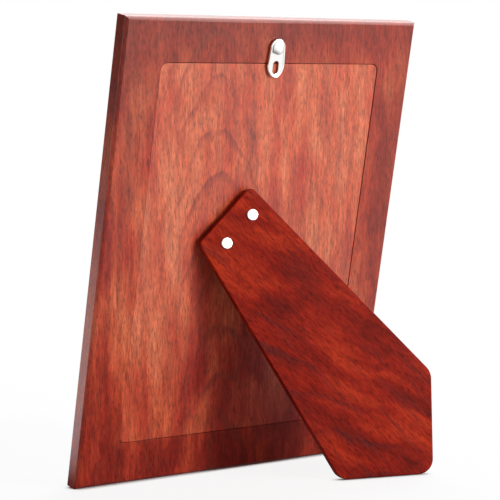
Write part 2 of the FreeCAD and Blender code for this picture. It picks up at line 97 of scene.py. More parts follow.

# %% [markdown]
# ## The camera
# The photograph was taken with a long lens from behind and a little above, so
# upright lines nearly stay parallel. A camera is aimed here: a point to look at,
# a direction to stand in and a distance. The lens is far longer than the
# default, because a short one would make the near side of the frame bulge.

# %% Camera
AZIMUTH, ELEVATION = math.radians(141.8), math.radians(4.57)
TARGET = Vector((-16.8, -30.8, 109.7)) * MM
DISTANCE = 1054.3 * MM
LENS = 150.45

camera_back = Vector((math.sin(AZIMUTH) * math.cos(ELEVATION),
                      -math.cos(AZIMUTH) * math.cos(ELEVATION),
                      math.sin(ELEVATION)))
camera_data = bpy.data.cameras.new("camera")
camera_data.lens = LENS
camera_data.sensor_width = 36
camera_data.clip_end = 20
camera = bpy.data.objects.new("camera", camera_data)
camera.location = TARGET + camera_back * DISTANCE
camera.rotation_euler = camera_back.to_track_quat("Z", "Y").to_euler()
bpy.context.scene.collection.objects.link(camera)
bpy.context.scene.camera = camera
print("camera at mm", [round(v / MM, 1) for v in camera.location])

# %% [markdown]
# ## Materials as small recipes
# Every finish is a short network of nodes. A helper keeps the recipes readable:
# it starts a material, and adds nodes by name with their settings and inputs.

# %% Helpers for node recipes


def start_material(name):
    """A new node material with its shader and an adder of nodes."""
    material = bpy.data.materials.new(name)
    material.use_nodes = True
    tree = material.node_tree
    tree.nodes.clear()
    output = tree.nodes.new("ShaderNodeOutputMaterial")
    shader = tree.nodes.new("ShaderNodeBsdfPrincipled")
    tree.links.new(shader.outputs["BSDF"], output.inputs["Surface"])
    return material, tree, shader


def add(tree, kind, inputs=None, **settings):
    """One node. An input is a number, a colour or another node's socket."""
    node = tree.nodes.new(f"ShaderNode{kind}")
    for key, setting in settings.items():
        setattr(node, key, setting)
    for key, source in (inputs or {}).items():
        if isinstance(source, bpy.types.NodeSocket):
            tree.links.new(source, node.inputs[key])
        else:
            node.inputs[key].default_value = source
    return node


def ramp(tree, source, stops):
    """A colour ramp from a list of place and grey or colour."""
    node = add(tree, "ValToRGB", {0: source})
    bar = node.color_ramp
    while len(bar.elements) < len(stops):
        bar.elements.new(0.5)
    for element, (place, shade) in zip(bar.elements, stops):
        colour = (shade,) * 3 if isinstance(shade, (int, float)) else shade
        element.position = place
        element.color = (*colour, 1)
    return node.outputs["Color"]


def math_node(tree, operation, first, second=0.0, clamp=False):
    """A sum, product or the like of two values."""
    node = add(tree, "Math", {0: first, 1: second}, operation=operation, use_clamp=clamp)
    return node.outputs[0]


def vector_node(tree, operation, first, second=(0, 0, 0), output=0):
    """The same for two vectors. A length or a dot product comes out as "Value"."""
    node = add(tree, "VectorMath", {0: first, 1: second}, operation=operation)
    return node.outputs[output]


def blend_colours(tree, factor, first, second, kind="MIX"):
    """Two colours laid over each other."""
    node = add(tree, "Mix", {"Factor": factor}, data_type="RGBA", blend_type=kind)
    for socket, source in ((node.inputs[6], first), (node.inputs[7], second)):
        if isinstance(source, bpy.types.NodeSocket):
            tree.links.new(source, socket)
        else:
            socket.default_value = (*source, 1)
    return node.outputs[2]


# %% [markdown]
# ## Rosewood under a semi-gloss lacquer
# Wood is a bundle of long fibres, so every pattern in it is stretched along the
# grain. Slow noise sets blotches of colour, quicker noise sets streaks, and short
# thin noise sets the pores. A flat-sawn board also shows its growth rings as tall
# arches: they come from a distance that grows along and across the board. The
# pattern reads the object's own coordinates, turned into the space of the board.
# A picture of wood would be quicker, but it would show its seams at the edges.

# %% Wood recipe
BOARD_AXES = Matrix((board_across, board_up, board_out))
LEG_AXES = Matrix((pin_along, leg_up, leg_out))
SWAY_SCALE, SWAY = 0.03, (9, 30, 0)
FIGURE_REACH, ARCH_SLACK = 60, 8
BLOTCH_SHARE, BAND_SHARE = 0.76, 0.24
LATE_DARK, LATE_GREY = 0.10, 0.7
TONE_STOPS = (0.31, 0.42, 0.53, 0.66)
WOOD_ROUGHNESS = (0.28, 0.4)
PORE_STRENGTH, PORE_DEPTH = 0.06, 0.05 * MM


def wood(name, axes, lean, tones, mauve, rings, slope, seed, shift, gloss, marks=(), lights=()):
    """A wood finish, with its lengths in mm.

    The tones run from dark to light, and mauve tints the greyed parts. The rings are given
    by the middle of their arches, the arches' width and the gap between two rings. The
    slope turns the blotches. The shift is a level and the rise in tone per mm above it.
    The marks grey the wood in soft ovals, and the painted-light ovals raise or lower its tone in them, as painted
    light and painted shade.
    """
    material, tree, shader = start_material(name)
    place = add(tree, "TexCoord").outputs["Object"]
    turn = (Matrix.Rotation(lean, 3, "Z") @ axes).to_euler()
    flat = add(tree, "Mapping", {
        "Vector": place, "Rotation": turn, "Scale": (1 / MM,) * 3}).outputs[0]
    sway = add(tree, "TexNoise", {"Vector": flat, "Scale": SWAY_SCALE, "Detail": 2.0})
    sway = vector_node(tree, "SUBTRACT", sway.outputs["Color"], (0.5, 0.5, 0.5))
    bent = vector_node(tree, "ADD", flat, vector_node(tree, "MULTIPLY", sway, SWAY))

    def fibres(source, width, length, offset, detail=3.0, rough=0.55, turned=0.0):
        """Noise in cells that are drawn out along the grain."""
        moved = add(tree, "Mapping", {
            "Vector": source, "Location": (seed + offset, seed - 2 * offset, 0.6 * seed),
            "Rotation": (0, 0, turned)}).outputs[0]
        cells = vector_node(tree, "MULTIPLY", moved, (1 / width, 1 / length, 1 / width))
        noise = add(tree, "TexNoise", {
            "Vector": cells, "Scale": 1.0, "Detail": detail, "Roughness": rough})
        return noise.outputs[0]

    across, along, _ = add(tree, "SeparateXYZ", {0: bent}).outputs
    ring_x, ring_width, ring_gap = rings
    aside = math_node(tree, "SUBTRACT", across, ring_x)
    square = math_node(tree, "MULTIPLY", aside, aside)
    arch = math_node(tree, "SQRT", math_node(tree, "ADD", square, ring_width ** 2))
    arch = math_node(tree, "MULTIPLY", arch, ring_width / ARCH_SLACK)
    arch = math_node(tree, "ADD", arch, along)
    phase = math_node(tree, "FRACT", math_node(tree, "DIVIDE", arch, ring_gap))
    late = ramp(tree, phase, [(0.0, 0.0), (0.7, 0.05), (0.92, 1.0), (1.0, 0.0)])
    off_middle = math_node(tree, "DIVIDE", square, FIGURE_REACH ** 2)
    in_figure = ramp(tree, off_middle, [(0.0, 1.0), (0.35, 0.06)])
    uneven = ramp(tree, fibres(bent, 26, 30, 31.0, 2.0), [(0.4, 0.15), (0.6, 1.0)])
    late = math_node(tree, "MULTIPLY", late, math_node(tree, "MULTIPLY", in_figure, uneven))

    blotches = fibres(bent, 14, 46, 0.0, 3.0, 0.5, slope)
    bands = fibres(flat, 4.6, 70, 7.0, 3.0, 0.5, slope / 2)
    tone = math_node(tree, "ADD", math_node(tree, "MULTIPLY", blotches, BLOTCH_SHARE),
                     math_node(tree, "MULTIPLY", bands, BAND_SHARE))
    level, rise_per_mm = shift
    height = math_node(tree, "SUBTRACT", along, level)
    tone = math_node(tree, "ADD", tone, math_node(tree, "MULTIPLY", height, rise_per_mm))
    tone = math_node(tree, "SUBTRACT", tone, math_node(tree, "MULTIPLY", late, LATE_DARK))

    def patch(x, y, half_width, half_length, strength):
        """A soft oval that lies along the grain, with its middle in board mm."""
        centre = Matrix.Rotation(lean, 3, "Z") @ Vector((x, y, 0))
        spot = vector_node(tree, "SUBTRACT", bent, centre)
        spot = vector_node(tree, "MULTIPLY", spot, (1 / half_width, 1 / half_length, 0))
        spot = vector_node(tree, "LENGTH", spot, output="Value")
        return math_node(tree, "MULTIPLY", ramp(tree, spot, [(0.1, 1.0), (1.0, 0.0)]), strength)

    # Painted light and shade: these ovals lighten or darken the tone where light or shadow falls on the frame.
    for light in lights:
        tone = math_node(tree, "ADD", tone, patch(*light))
    colour = ramp(tree, tone, list(zip(TONE_STOPS, tones)))
    greyed = ramp(tree, fibres(flat, 3.0, 40, 19.0, 4.0, 0.6), [(0.5, 0.0), (0.72, 0.6)])
    for mark in marks:
        greyed = math_node(tree, "MAXIMUM", greyed, patch(*mark))
    late_grey = math_node(tree, "MULTIPLY", late, LATE_GREY)
    greyed = math_node(tree, "ADD", greyed, late_grey, clamp=True)
    colour = blend_colours(tree, greyed, colour, mauve)

    streaks = fibres(flat, 1.0, 8, 3.0, 3.0, 0.6)
    fine = ramp(tree, streaks, [(0.3, 0.66), (0.65, 1.17)])
    pores = fibres(flat, 0.46, 2.8, 5.0, 2.0, 0.5)
    pits = ramp(tree, pores, [(0.3, 0.5), (0.48, 1.0), (0.7, 1.14)])
    for pattern in (fine, pits):
        colour = blend_colours(tree, 1.0, colour, pattern, "MULTIPLY")
    tree.links.new(colour, shader.inputs["Base Color"])
    rough = add(tree, "MapRange", {0: streaks, 3: WOOD_ROUGHNESS[0], 4: WOOD_ROUGHNESS[1]})
    tree.links.new(rough.outputs[0], shader.inputs["Roughness"])
    relief = add(tree, "Bump", {
        "Strength": PORE_STRENGTH, "Distance": PORE_DEPTH, "Height": pits})
    tree.links.new(relief.outputs[0], shader.inputs["Normal"])
    shader.inputs["Specular IOR Level"].default_value = gloss
    return material


# %% [markdown]
# ## Three boards of it
# The panel has lighter tones than the border round it: partly a lighter piece of
# wood, partly painted light for the sheen on its middle. The leg is cut from a
# darker piece whose figure runs at a slant. The figure alone is too even, so grey
# ovals add streaks at the left edge and beside the turn button, and grey wide
# parts of the border. The other ovals are painted light and painted shade: they
# darken the border's top, bottom and outer sides and the panel's top, with the
# leg's shadow along the bottom, and lighten the panel's low left and a strip of
# the border beside it. The panel's tone also rises with height, painted shade
# towards its bottom. Each oval is given by its middle across and up the board,
# half its width and length, and its strength.

# %% Border, panel and leg wood
GRAIN_LEAN, FIGURE_LEAN = math.radians(-8), math.radians(-24)
BOARD_RINGS, LEG_RINGS = (-6, 97, 25), (30, 60, 30)
BORDER_MAUVE, PANEL_MAUVE = (0.18, 0.028, 0.013), (0.22, 0.044, 0.024)
LEG_MAUVE = (0.10, 0.014, 0.012)
BORDER_TONES = ((0.19, 0.012, 0.006), (0.31, 0.030, 0.012),
                (0.42, 0.074, 0.028), (0.48, 0.122, 0.050))
# The panel's tones are lighter than the border's: partly a lighter board, partly painted light for the sheen on
# its middle.
PANEL_TONES = ((0.25, 0.014, 0.006), (0.37, 0.046, 0.018),
               (0.46, 0.089, 0.033), (0.51, 0.140, 0.060))
LEG_TONES = ((0.08, 0.004, 0.002), (0.14, 0.007, 0.003),
             (0.21, 0.011, 0.004), (0.32, 0.026, 0.007))
BORDER_MARKS = ((-81, 165, 5, 26, 0.95), (-79, 140, 5, 18, 0.8), (0, 240, 260, 70, 0.85),
                (-90, 220, 50, 90, 0.8), (-28, 216, 5, 12, 0.9), (14, 216, 4, 10, 0.9),
                (34, 216, 4, 14, 0.8), (110, 130, 60, 300, 0.75))
# Painted shade darkens the border's top, bottom and outer sides, with the leg's shadow along the bottom. Painted
# light brightens a strip on its left.
BORDER_PAINTED_LIGHT = ((-72, 70, 7, 80, 0.07), (-86, 25, 12, 60, -0.10), (0, -6, 260, 60, -0.18),
                 (0, 240, 260, 50, -0.17), (50, 218, 60, 26, -0.09),
                 (-20, 8, 70, 24, -0.08), (96, 140, 30, 110, -0.13),
                 (-88, 180, 8, 50, -0.12), (-88, 110, 8, 50, -0.12))
PANEL_MARKS = ((-9, 166, 4, 30, 0.8), (48, 160, 3, 36, 0.65))
# Painted light brightens the panel's low left, and painted shade darkens its top.
PANEL_PAINTED_LIGHT = ((-52, 90, 34, 100, 0.04), (-58, 45, 20, 50, 0.10), (20, 205, 90, 50, -0.09))
rosewood = wood(
    "rosewood", BOARD_AXES, GRAIN_LEAN, BORDER_TONES, BORDER_MAUVE, BOARD_RINGS, slope=0.0,
    seed=23.0, shift=(100, 0.0), gloss=0.36, marks=BORDER_MARKS, lights=BORDER_PAINTED_LIGHT)
# The panel's tone rises with height above 112 mm. This is painted shade that darkens it towards its bottom.
rosewood_panel = wood(
    "rosewood_panel", BOARD_AXES, GRAIN_LEAN, PANEL_TONES, PANEL_MAUVE, BOARD_RINGS, slope=0.0,
    seed=23.0, shift=(112, 0.0011), gloss=0.52, marks=PANEL_MARKS, lights=PANEL_PAINTED_LIGHT)
rosewood_leg = wood(
    "rosewood_leg", LEG_AXES, 0.0, LEG_TONES, LEG_MAUVE, LEG_RINGS, slope=FIGURE_LEAN,
    seed=41.0, shift=(-70, 0.0003), gloss=0.04)
for board_wood in (rosewood, rosewood_panel, rosewood_leg):
    print(board_wood.name, len(board_wood.node_tree.nodes), "nodes")

# %% [markdown]
# ## Metals, glass and paper
# The turn button is bright nickel plate, nearly a mirror, so it shows the white
# studio. The rivets and the stud are satin and read as pale discs. Metal that is
# evenly smooth looks computed, so a little noise goes into its roughness. The
# print and the card are matt with fine flecks, and the pane is clear glass.

# %% Metals, glass and paper
WEAR_SCALE, WEAR = 900.0, (0.8, 1.3)
FLECK_SCALE = 1500.0


def metal(name, colour, roughness):
    """A plated or bare metal with an unevenly worn polish."""
    material, tree, shader = start_material(name)
    place = add(tree, "TexCoord").outputs["Object"]
    noise = add(tree, "TexNoise", {"Vector": place, "Scale": WEAR_SCALE, "Detail": 3.0})
    rough = add(tree, "MapRange", {
        0: noise.outputs[0], 3: roughness * WEAR[0], 4: roughness * WEAR[1]})
    tree.links.new(rough.outputs[0], shader.inputs["Roughness"])
    shader.inputs["Base Color"].default_value = (*colour, 1)
    shader.inputs["Metallic"].default_value = 1.0
    return material


nickel = metal("nickel", (0.88, 0.87, 0.84), 0.05)
satin_nickel = metal("satin_nickel", (0.9, 0.9, 0.88), 0.35)
hinge_steel = metal("hinge_steel", (0.62, 0.62, 0.61), 0.3)
steel_wire = metal("steel_wire", (0.6, 0.6, 0.6), 0.2)


def sheet_stock(name, colour, fleck, roughness):
    """Paper or card with flecks of a second colour."""
    material, tree, shader = start_material(name)
    place = add(tree, "TexCoord").outputs["Object"]
    specks = add(tree, "TexNoise", {"Vector": place, "Scale": FLECK_SCALE, "Detail": 4.0})
    tint = ramp(tree, specks.outputs[0], [(0.35, fleck), (0.6, colour)])
    tree.links.new(tint, shader.inputs["Base Color"])
    shader.inputs["Roughness"].default_value = roughness
    return material


photo_paper = sheet_stock("photo_paper", (0.82, 0.81, 0.79), (0.80, 0.79, 0.77), 0.3)
grey_board = sheet_stock("grey_board", (0.42, 0.40, 0.37), (0.30, 0.28, 0.26), 0.85)

glass, _, glass_shader = start_material("glass")
glass_shader.inputs["Base Color"].default_value = (0.96, 0.99, 0.98, 1)
glass_shader.inputs["Transmission Weight"].default_value = 1.0
glass_shader.inputs["Roughness"].default_value = 0.0
glass_shader.inputs["IOR"].default_value = 1.5
print("materials", len(bpy.data.materials))

# %% [markdown]
# ## Modelling as on a bench
# Each new piece starts from a simple block or disc and is worked in edit mode.
# Three habits keep that safe in a script. Everything is deselected before a new
# primitive. Faces and edges are picked by where they are. And a finished piece is
# moved into place in its mesh, so its object stays at the origin.

# %% Helpers for modelling
INSET = 1 * MM
WOOD_ANGLE, METAL_ANGLE = 32, 50


def pick(kind, test, measure=len):
    """In edit mode, selects only what passes a test, and measures what it selects."""
    bpy.ops.mesh.select_mode(type=kind)
    bpy.ops.mesh.select_all(action="DESELECT")
    mesh = bmesh.from_edit_mesh(bpy.context.object.data)
    items = {"VERT": mesh.verts, "EDGE": mesh.edges, "FACE": mesh.faces}[kind]
    chosen = [item for item in items if test(item)]
    for item in chosen:
        item.select_set(True)
    bmesh.update_edit_mesh(bpy.context.object.data)
    return measure(chosen)


def middle(item):
    """The middle of an edge or face."""
    return sum((vertex.co for vertex in item.verts), Vector()) / len(item.verts)


def near(first, second):
    """Whether two measures are the same but for rounding."""
    return abs(first - second) < NEAR


def faces_up(level):
    """Chooses the faces that lie at a level and look out of the piece's back."""
    return lambda face: face.normal.z > 0.9 and near(middle(face).z, level)


def faces_down(level):
    """Chooses the faces that lie at a level and look the other way."""
    return lambda face: face.normal.z < -0.9 and near(middle(face).z, level)


def upright(edge):
    """Whether an edge stands square to the piece's flat faces."""
    first, second = (vertex.co for vertex in edge.verts)
    return near(first.x, second.x) and near(first.y, second.y) and not near(first.z, second.z)


def block(name, low, high):
    """A block between two corners, left in edit mode."""
    bpy.ops.object.select_all(action="DESELECT")
    bpy.ops.mesh.primitive_cube_add(size=1)
    piece = bpy.context.object
    piece.name = piece.data.name = name
    low, high = Vector(low), Vector(high)
    bpy.ops.object.mode_set(mode="EDIT")
    bpy.ops.transform.resize(value=high - low, center_override=(0, 0, 0))
    bpy.ops.transform.translate(value=(low + high) / 2)
    return piece


def fit(width, height):
    """Stretches the selected flat face to a width and height about its middle."""
    mesh = bmesh.from_edit_mesh(bpy.context.object.data)
    points = [vertex.co for vertex in mesh.verts if vertex.select]
    xs, ys = [p.x for p in points], [p.y for p in points]
    centre = ((max(xs) + min(xs)) / 2, (max(ys) + min(ys)) / 2, points[0].z)
    stretch = (width / (max(xs) - min(xs)), height / (max(ys) - min(ys)), 1)
    bpy.ops.transform.resize(value=stretch, center_override=centre)


def inner_face(width, height):
    """Insets a face of a width and height in the selected one."""
    bpy.ops.mesh.inset(thickness=INSET)
    fit(width, height)


def pull(distance):
    """Extrudes the selected face straight out or in."""
    bpy.ops.mesh.extrude_region_move(TRANSFORM_OT_translate={"value": (0, 0, distance)})


def raise_rings(profile):
    """Insets the selected face ring by ring, each with its width and rise in mm."""
    for inward, rise in profile:
        bpy.ops.mesh.inset(thickness=inward * MM, depth=rise * MM)


def round_edges(test, radius, segments, profile=0.5):
    """Rounds the edges that pass a test, whatever the angle between their faces."""
    angle = pick("EDGE", test, lambda edges: edges[0].calc_face_angle())
    offset = radius * math.tan(angle / 2)
    bpy.ops.mesh.bevel(offset=offset, segments=segments, profile=profile, affect="EDGES",
                       miter_outer="SHARP", clamp_overlap=True)


def cut_away(piece, cutter):
    """Cuts one object's shape out of another and throws the cutter away."""
    bpy.ops.object.select_all(action="DESELECT")
    bpy.context.view_layer.objects.active = piece
    cut = piece.modifiers.new("cut", "BOOLEAN")
    cut.operation = "DIFFERENCE"
    cut.object = cutter
    cut.solver = "EXACT"
    bpy.ops.object.modifier_apply(modifier=cut.name)
    bpy.data.objects.remove(cutter)


def finish_piece(piece, place, angle=WOOD_ANGLE):
    """Stands a piece in its place and shades its round faces smoothly."""
    bpy.ops.object.mode_set(mode="OBJECT")
    bpy.ops.object.select_all(action="DESELECT")
    piece.select_set(True)
    bpy.context.view_layer.objects.active = piece
    piece.matrix_world = place
    bpy.ops.object.transform_apply(location=True, rotation=True, scale=True)
    bpy.ops.object.shade_smooth_by_angle(angle=math.radians(angle))
    even = piece.modifiers.new("even_normals", "WEIGHTED_NORMAL")
    even.keep_sharp = True
    bpy.ops.object.modifier_apply(modifier=even.name)
    print(piece.name, len(piece.data.polygons), "faces")
    return piece


# %% [markdown]
# ## The board
# The border of the frame is one routed board. It could be made from four mitred
# sticks, but the grain runs over the corners without a break, so it is worked
# from one block. From the front come the step, the round moulding and the sight
# window. From the back come the panel's recess and the print's rabbet. The two
# meet at the sight, where their last faces are deleted and their edges merged.

# %% Board
SIDE_DEPTH, BACK_ROUND = 7.8 * MM, 1.9 * MM
FRONT_STEP, FRONT_ROUND = 2.0 * MM, 6.8 * MM
SIGHT_BEVEL, SIGHT_LIP = 4.0 * MM, 3.0 * MM
PRINT = (127.0 * MM, 177.8 * MM)
PRINT_GAP, LEDGE = 1.2 * MM, (2.2 * MM, 3.1 * MM)
PANEL_DEPTH, STACK_DEPTH = 4.0 * MM, 7.8 * MM
RECESS_CORNER, RABBET_CORNER = 4.0 * MM, 3.0 * MM
EASE, BACK_PROFILE = 0.08 * MM, 0.36
MOULDING_STEPS, CORNER_STEPS, HIDDEN_STEPS, EASE_STEPS = 14, 10, 6, 2
sight = [side - 2 * SIGHT_LIP for side in PRINT]
rabbet = [side + 2 * PRINT_GAP for side in PRINT]
recess = [side + 2 * ledge for side, ledge in zip(rabbet, LEDGE)]
half_width = board_width / 2

board = block("board", (-half_width, 0, -SIDE_DEPTH), (half_width, board_height, 0))
pick("FACE", faces_down(-SIDE_DEPTH))
bpy.ops.mesh.inset(thickness=FRONT_STEP)
pull(SIDE_DEPTH - board_depth)
round_edges(lambda edge: near(middle(edge).z, -board_depth), FRONT_ROUND, MOULDING_STEPS)
pick("FACE", faces_down(-board_depth))
inner_face(*(side + 2 * SIGHT_BEVEL for side in sight))
pull(SIGHT_BEVEL)
fit(*sight)
pull(board_depth - SIGHT_BEVEL - STACK_DEPTH)
bpy.ops.mesh.delete(type="FACE")
pick("FACE", faces_up(0))
inner_face(*recess)
pull(-PANEL_DEPTH)
inner_face(*rabbet)
pull(PANEL_DEPTH - STACK_DEPTH)
inner_face(*sight)
bpy.ops.mesh.delete(type="FACE")
bpy.ops.mesh.select_all(action="SELECT")
bpy.ops.mesh.remove_doubles(threshold=NEAR)


def corner_of(size, low, high):
    """Chooses the upright edges at the corners of a middle rectangle."""
    def chosen(edge):
        point = middle(edge)
        in_depth = low < point.z < high
        return upright(edge) and in_depth and near(abs(point.x), size[0] / 2)
    return chosen


def rim(size, level):
    """Chooses the edges round a middle rectangle at a level."""
    def chosen(edge):
        inside = all(abs(vertex.co.x) < size[0] / 2 + NEAR and near(vertex.co.z, level)
                     and abs(vertex.co.y - board_height / 2) < size[1] / 2 + NEAR
                     for vertex in edge.verts)
        return inside and len({face.normal.z > 0.9 for face in edge.link_faces}) == 2
    return chosen


round_edges(corner_of(recess, -PANEL_DEPTH, 0), RECESS_CORNER, CORNER_STEPS)
round_edges(corner_of(rabbet, -STACK_DEPTH, -PANEL_DEPTH), RABBET_CORNER, HIDDEN_STEPS)


def back_outline(edge):
    """The four outer edges of the back face."""
    point = middle(edge)
    at_side = near(abs(point.x), half_width) or near(point.y, 0) or near(point.y, board_height)
    return near(point.z, 0) and at_side


round_edges(back_outline, BACK_ROUND, CORNER_STEPS, BACK_PROFILE)
round_edges(rim(recess, 0), EASE, EASE_STEPS)
frame_board = finish_piece(board, BOARD)
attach(frame_board, "frame")
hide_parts("frame_body")

# %% [markdown]
# ## The easel leg
# The leg is a flat board, sawn to shape: one flared side and two foot edges, one
# for each way that the frame can stand. So it starts as a plain blank that is
# bisected along three lines. The lines are measured on the construction, by how
# far its leg reaches in each direction. A groove underneath clears the hinge.

# %% Leg
LEG_FLARE = math.radians(14.2)
END_CORNER, FOOT_CORNER, LEG_EDGE = 3.0 * MM, 7.5 * MM, 0.6 * MM
BARREL_RADIUS, GROOVE_LENGTH = 1.6 * MM, 27.4 * MM
SPARE, SAME_CORNER, LEG_EDGE_STEPS = 10 * MM, 1 * MM, 5
board_lean = math.asin(-board_out.z)
foot_slope = math.cos(opening) + math.sqrt(2) * math.tan(board_lean) * math.sin(opening)


def leg_reach(x, y, z=0.0):
    """How far the leg goes in a direction of leg space."""
    direction = x * pin_along + y * leg_up + z * leg_out
    return reach("easel_leg", pin_point, direction)


leg_inner, leg_outer = -leg_reach(0, 0, -1), leg_reach(0, 0, 1)
leg_right, leg_end = leg_reach(1, 0), leg_reach(0, 1)
cuts = {
    "flared side": Vector((-math.cos(LEG_FLARE), math.sin(LEG_FLARE), 0)),
    "foot, frame upright": Vector((-1, -foot_slope, 0)).normalized(),
    "foot, frame on its side": Vector((1, -foot_slope, 0)).normalized(),
}
leg = block("leg", (-leg_reach(-1, 0) - SPARE, -leg_reach(0, -1) - SPARE, leg_inner),
            (leg_right, leg_end, leg_outer))
for outward in cuts.values():
    bpy.ops.mesh.select_all(action="SELECT")
    bpy.ops.mesh.bisect(plane_co=outward * leg_reach(*outward), plane_no=outward,
                        use_fill=True, clear_outer=True)
places = pick("EDGE", upright, lambda edges: [middle(edge) for edge in edges])
places.sort(key=lambda point: -point.y)
for rank, place in enumerate(places):
    radius = END_CORNER if rank < 2 else FOOT_CORNER
    round_edges(lambda edge: upright(edge) and (middle(edge) - place).length < SAME_CORNER,
                radius, CORNER_STEPS)
for level in (leg_inner, leg_outer):
    round_edges(lambda edge: all(near(vertex.co.z, level) for vertex in edge.verts),
                LEG_EDGE, LEG_EDGE_STEPS)
bpy.ops.object.mode_set(mode="OBJECT")


def rod(name, radius, start, end, sides=48):
    """A round bar from one point to another, in object mode."""
    start, end = Vector(start), Vector(end)
    run = end - start
    bpy.ops.object.select_all(action="DESELECT")
    bpy.ops.mesh.primitive_cylinder_add(vertices=sides, radius=radius, depth=run.length)
    piece = bpy.context.object
    piece.name = name
    turned = run.to_track_quat("Z", "Y").to_matrix().to_4x4()
    piece.matrix_world = Matrix.Translation((start + end) / 2) @ turned
    bpy.ops.object.transform_apply(location=True, rotation=True, scale=True)
    return piece


groove_end = Vector((GROOVE_LENGTH / 2, 0, 0))
cut_away(leg, rod("barrel", BARREL_RADIUS, -groove_end, groove_end))
leg_board = finish_piece(leg, LEG)
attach(leg_board, "leg")
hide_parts("easel_leg")

# %% [markdown]
# ## The back panel
# The panel fills its recess but for a hairline gap, so it reads as a thin line
# and not as a step. The gap is wider on one side, as on a panel that has been
# pushed over in its recess. Two holes in its lower edge take the locating pins.

# %% Back panel
GAP_LEFT, GAP_RIGHT = 0.1 * MM, 0.6 * MM
GAP_LOW, GAP_HIGH = 0.35 * MM, 0.35 * MM
PIN_RADIUS, PIN_SPREAD, PIN_LEVEL, PIN_END = 1.0 * MM, 92.0 * MM, -2.0 * MM, 27.0 * MM
recess_low = (board_height - recess[1]) / 2
panel = block("panel", (GAP_LEFT - recess[0] / 2, recess_low + GAP_LOW, -PANEL_DEPTH),
              (recess[0] / 2 - GAP_RIGHT, recess_low + recess[1] - GAP_HIGH, 0))
round_edges(upright, RECESS_CORNER - GAP_LOW, CORNER_STEPS)
round_edges(lambda edge: all(near(vertex.co.z, 0) for vertex in edge.verts), EASE, EASE_STEPS)
bpy.ops.object.mode_set(mode="OBJECT")
for side in (-1, 1):
    pin_x = side * PIN_SPREAD / 2
    cut_away(panel, rod("pin_hole", PIN_RADIUS, (pin_x, recess_low - 1 * MM, PIN_LEVEL),
                        (pin_x, PIN_END, PIN_LEVEL)))
back_panel = finish_piece(panel, BOARD)
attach(back_panel, "frame")
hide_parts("back_panel")

# %% [markdown]
# ## The turn button
# The button is a pressed plate: a wide loop with a slot for a nail, a narrower
# head round the stud, and a rolled rim. It starts as a short cylinder. Half of its
# points are pulled up to form the head, the rim is raised ring by ring, and the
# slot is cut through. A curve with a bevel could make the rim too, but rings of
# the same mesh leave no joint that a mirror finish would show.

# %% Turn button
PLATE_LOW, PLATE_SIDE = 1.05 * MM, 0.42 * MM
LOOP_RADIUS, LOOP_TAIL, LOOP_DROP, HEAD_RADIUS = 5.1 * MM, 6.8 * MM, 7.8 * MM, 4.4 * MM
SLOT_RADIUS, SLOT_TOP, SLOT_LENGTH = 1.7 * MM, 8.1 * MM, 2.9 * MM
SLOT_CUTTER, SLOT_EASE, SLOT_EASE_STEPS = 4 * MM, 0.3 * MM, 4
SMALL_SIDES = 48
RIM = ((0.08, 0.20), (0.14, 0.16), (0.18, 0.10), (0.18, 0.02), (0.18, -0.04), (0.24, -0.16),
       (0.22, -0.18), (0.18, -0.10), (0.14, -0.02))


def disc(name, radius, low, high, sides=64):
    """A short round blank between two levels, left in edit mode."""
    bpy.ops.object.select_all(action="DESELECT")
    bpy.ops.mesh.primitive_cylinder_add(vertices=sides, radius=radius, depth=high - low)
    piece = bpy.context.object
    piece.name = piece.data.name = name
    bpy.ops.object.mode_set(mode="EDIT")
    bpy.ops.mesh.select_all(action="SELECT")
    bpy.ops.transform.translate(value=(0, 0, (high + low) / 2))
    return piece


def pull_half(rise):
    """Pulls the upper half of a round blank up, which makes it oblong."""
    pick("VERT", lambda vertex: vertex.co.y > -NEAR)
    bpy.ops.transform.translate(value=(0, rise, 0))


button = disc("turn_button", LOOP_RADIUS, PLATE_LOW, PLATE_LOW + PLATE_SIDE)
pick("VERT", lambda vertex: vertex.co.y < -NEAR)
bpy.ops.transform.resize(value=(1, LOOP_TAIL / LOOP_RADIUS, 1), center_override=(0, 0, 0))
pull_half(LOOP_DROP)
narrow = HEAD_RADIUS / LOOP_RADIUS
bpy.ops.transform.resize(value=(narrow, narrow, 1), center_override=(0, LOOP_DROP, 0))
bpy.ops.mesh.select_all(action="SELECT")
bpy.ops.transform.translate(value=(0, -LOOP_DROP, 0))
pick("FACE", faces_up(PLATE_LOW + PLATE_SIDE))
raise_rings(RIM)
field = PLATE_LOW + PLATE_SIDE + sum(rise for _, rise in RIM) * MM
bpy.ops.object.mode_set(mode="OBJECT")

slot = disc("slot", SLOT_RADIUS, 0, SLOT_CUTTER, SMALL_SIDES)
pull_half(SLOT_LENGTH)
bpy.ops.mesh.select_all(action="SELECT")
bpy.ops.transform.translate(value=(0, -SLOT_TOP - SLOT_LENGTH, 0))
bpy.ops.object.mode_set(mode="OBJECT")
cut_away(button, slot)
bpy.ops.object.mode_set(mode="EDIT")


def slot_edge(edge):
    """The upper edge of the slot."""
    in_slot = all(abs(vertex.co.x) < SLOT_RADIUS + NEAR and near(vertex.co.z, field)
                  and vertex.co.y < -SLOT_TOP + SLOT_RADIUS + NEAR for vertex in edge.verts)
    return in_slot and any(abs(face.normal.z) < 0.1 for face in edge.link_faces)


round_edges(slot_edge, SLOT_EASE, SLOT_EASE_STEPS)
turn_button = finish_piece(button, BUTTON, METAL_ANGLE)
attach(turn_button, "hanger")
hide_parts("hanger_plate")

# %% [markdown]
# ## The stud and the leg's rivets
# All three are a head on a shank. The head starts as a short disc whose upper
# face is raised ring by ring: into a dome on the stud, and into a flat crown on
# the rivets. The shank is drawn out of the head's under side. The rivets end in
# a wider tail, which holds the hinge leaf on. One rivet is made and copied.

